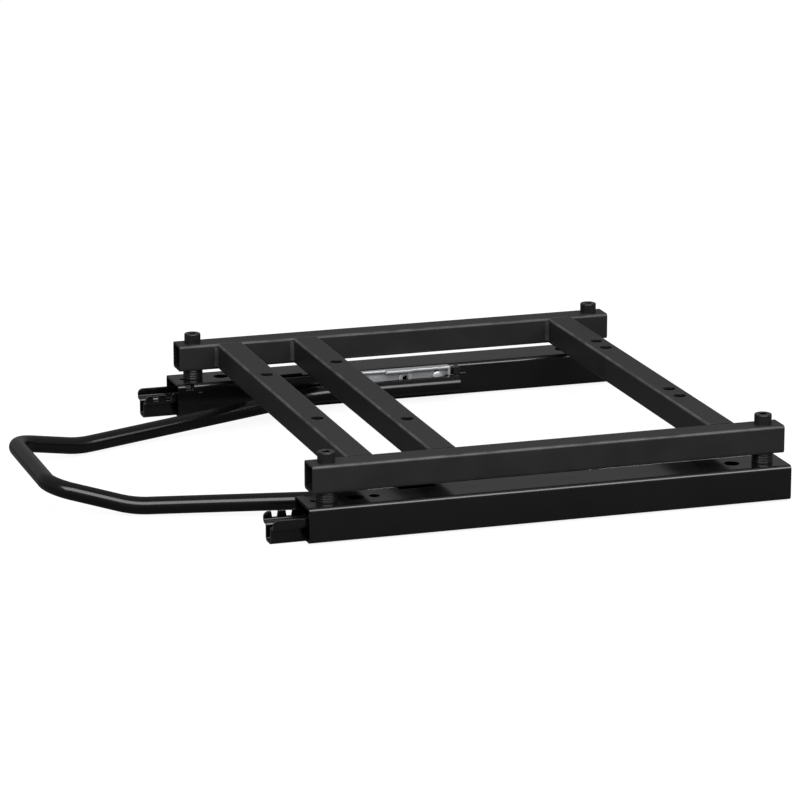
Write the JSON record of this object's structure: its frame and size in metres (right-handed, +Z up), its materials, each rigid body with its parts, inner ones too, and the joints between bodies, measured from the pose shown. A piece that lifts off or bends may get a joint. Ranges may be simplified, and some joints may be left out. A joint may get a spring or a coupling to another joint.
{
  "type": "seat slide rail",
  "caption": "Seat slide: welded square-tube frame bolted on locking slide rails, with a bent lift-up release bar in front that frees the carriage to move fore and aft.",
  "frame": {"origin": "centre of the floor bolt pattern, on the floor under the lower rails", "axes": "+X along the rails towards the rear, +Z up from the floor"},
  "size_m": [0.5467, 0.414, 0.0663],
  "materials": {
    "rail_black": "satin black coat on folded sheet",
    "tube_black": "satin black powder coat",
    "bolt_black": "black oxide",
    "zinc": "bright zinc plate",
    "spring_steel": "oiled spring wire",
    "nylon": "natural moulded nylon",
    "bar_black": "gloss black coat"
  },
  "bodies": {
    "base": {"lower_rail_left": "rail_black", "lower_rail_right": "rail_black", "stop_rivets_left": "zinc", "stop_rivets_right": "zinc"},
    "carriage": {"upper_rail_left": "rail_black", "upper_rail_right": "rail_black", "stop_stud_left": "rail_black", "stop_stud_right": "rail_black", "side_tube_left": "tube_black", "side_tube_right": "tube_black", "cross_tube_front": "tube_black", "cross_tube_middle": "tube_black", "cross_tube_rear": "tube_black", "bolt_front_left": "bolt_black", "bolt_front_right": "bolt_black", "bolt_rear_left": "bolt_black", "bolt_rear_right": "bolt_black", "spacer_front_left": "bolt_black", "spacer_front_right": "bolt_black", "spacer_rear_left": "bolt_black", "spacer_rear_right": "bolt_black", "nut_front_left": "zinc", "nut_front_right": "zinc", "nut_rear_left": "zinc", "nut_rear_right": "zinc", "pivot_pin_left": "zinc", "pivot_pin_right": "zinc", "lift_stop_left": "zinc", "lift_stop_right": "zinc", "return_spring_left": "spring_steel", "return_spring_right": "spring_steel", "spring_post_left": "spring_steel", "spring_post_right": "spring_steel", "glide_left_front_inner": "nylon", "glide_left_front_outer": "nylon", "glide_left_rear_inner": "nylon", "glide_left_rear_outer": "nylon", "glide_right_front_inner": "nylon", "glide_right_front_outer": "nylon", "glide_right_rear_inner": "nylon", "glide_right_rear_outer": "nylon"},
    "handle": {"release_bar": "bar_black", "latch_lever_left": "zinc", "latch_lever_right": "zinc", "latch_claw_left": "rail_black", "latch_claw_right": "rail_black", "claw_rivets_left": "zinc", "claw_rivets_right": "zinc"}
  },
  "joints": [
    {"name": "seat_slide", "type": "slide", "parent": "base", "child": "carriage", "axis": [1, 0, 0], "range_m": [-0.099, 0.055]},
    {"name": "handle_lift", "type": "hinge", "parent": "carriage", "child": "handle", "pos_m": [0.029, 0, 0.02], "axis": [0, 1, 0], "range_deg": [-0.6, 4.5], "deforming": ["return_spring_left", "return_spring_right"]}
  ]
}
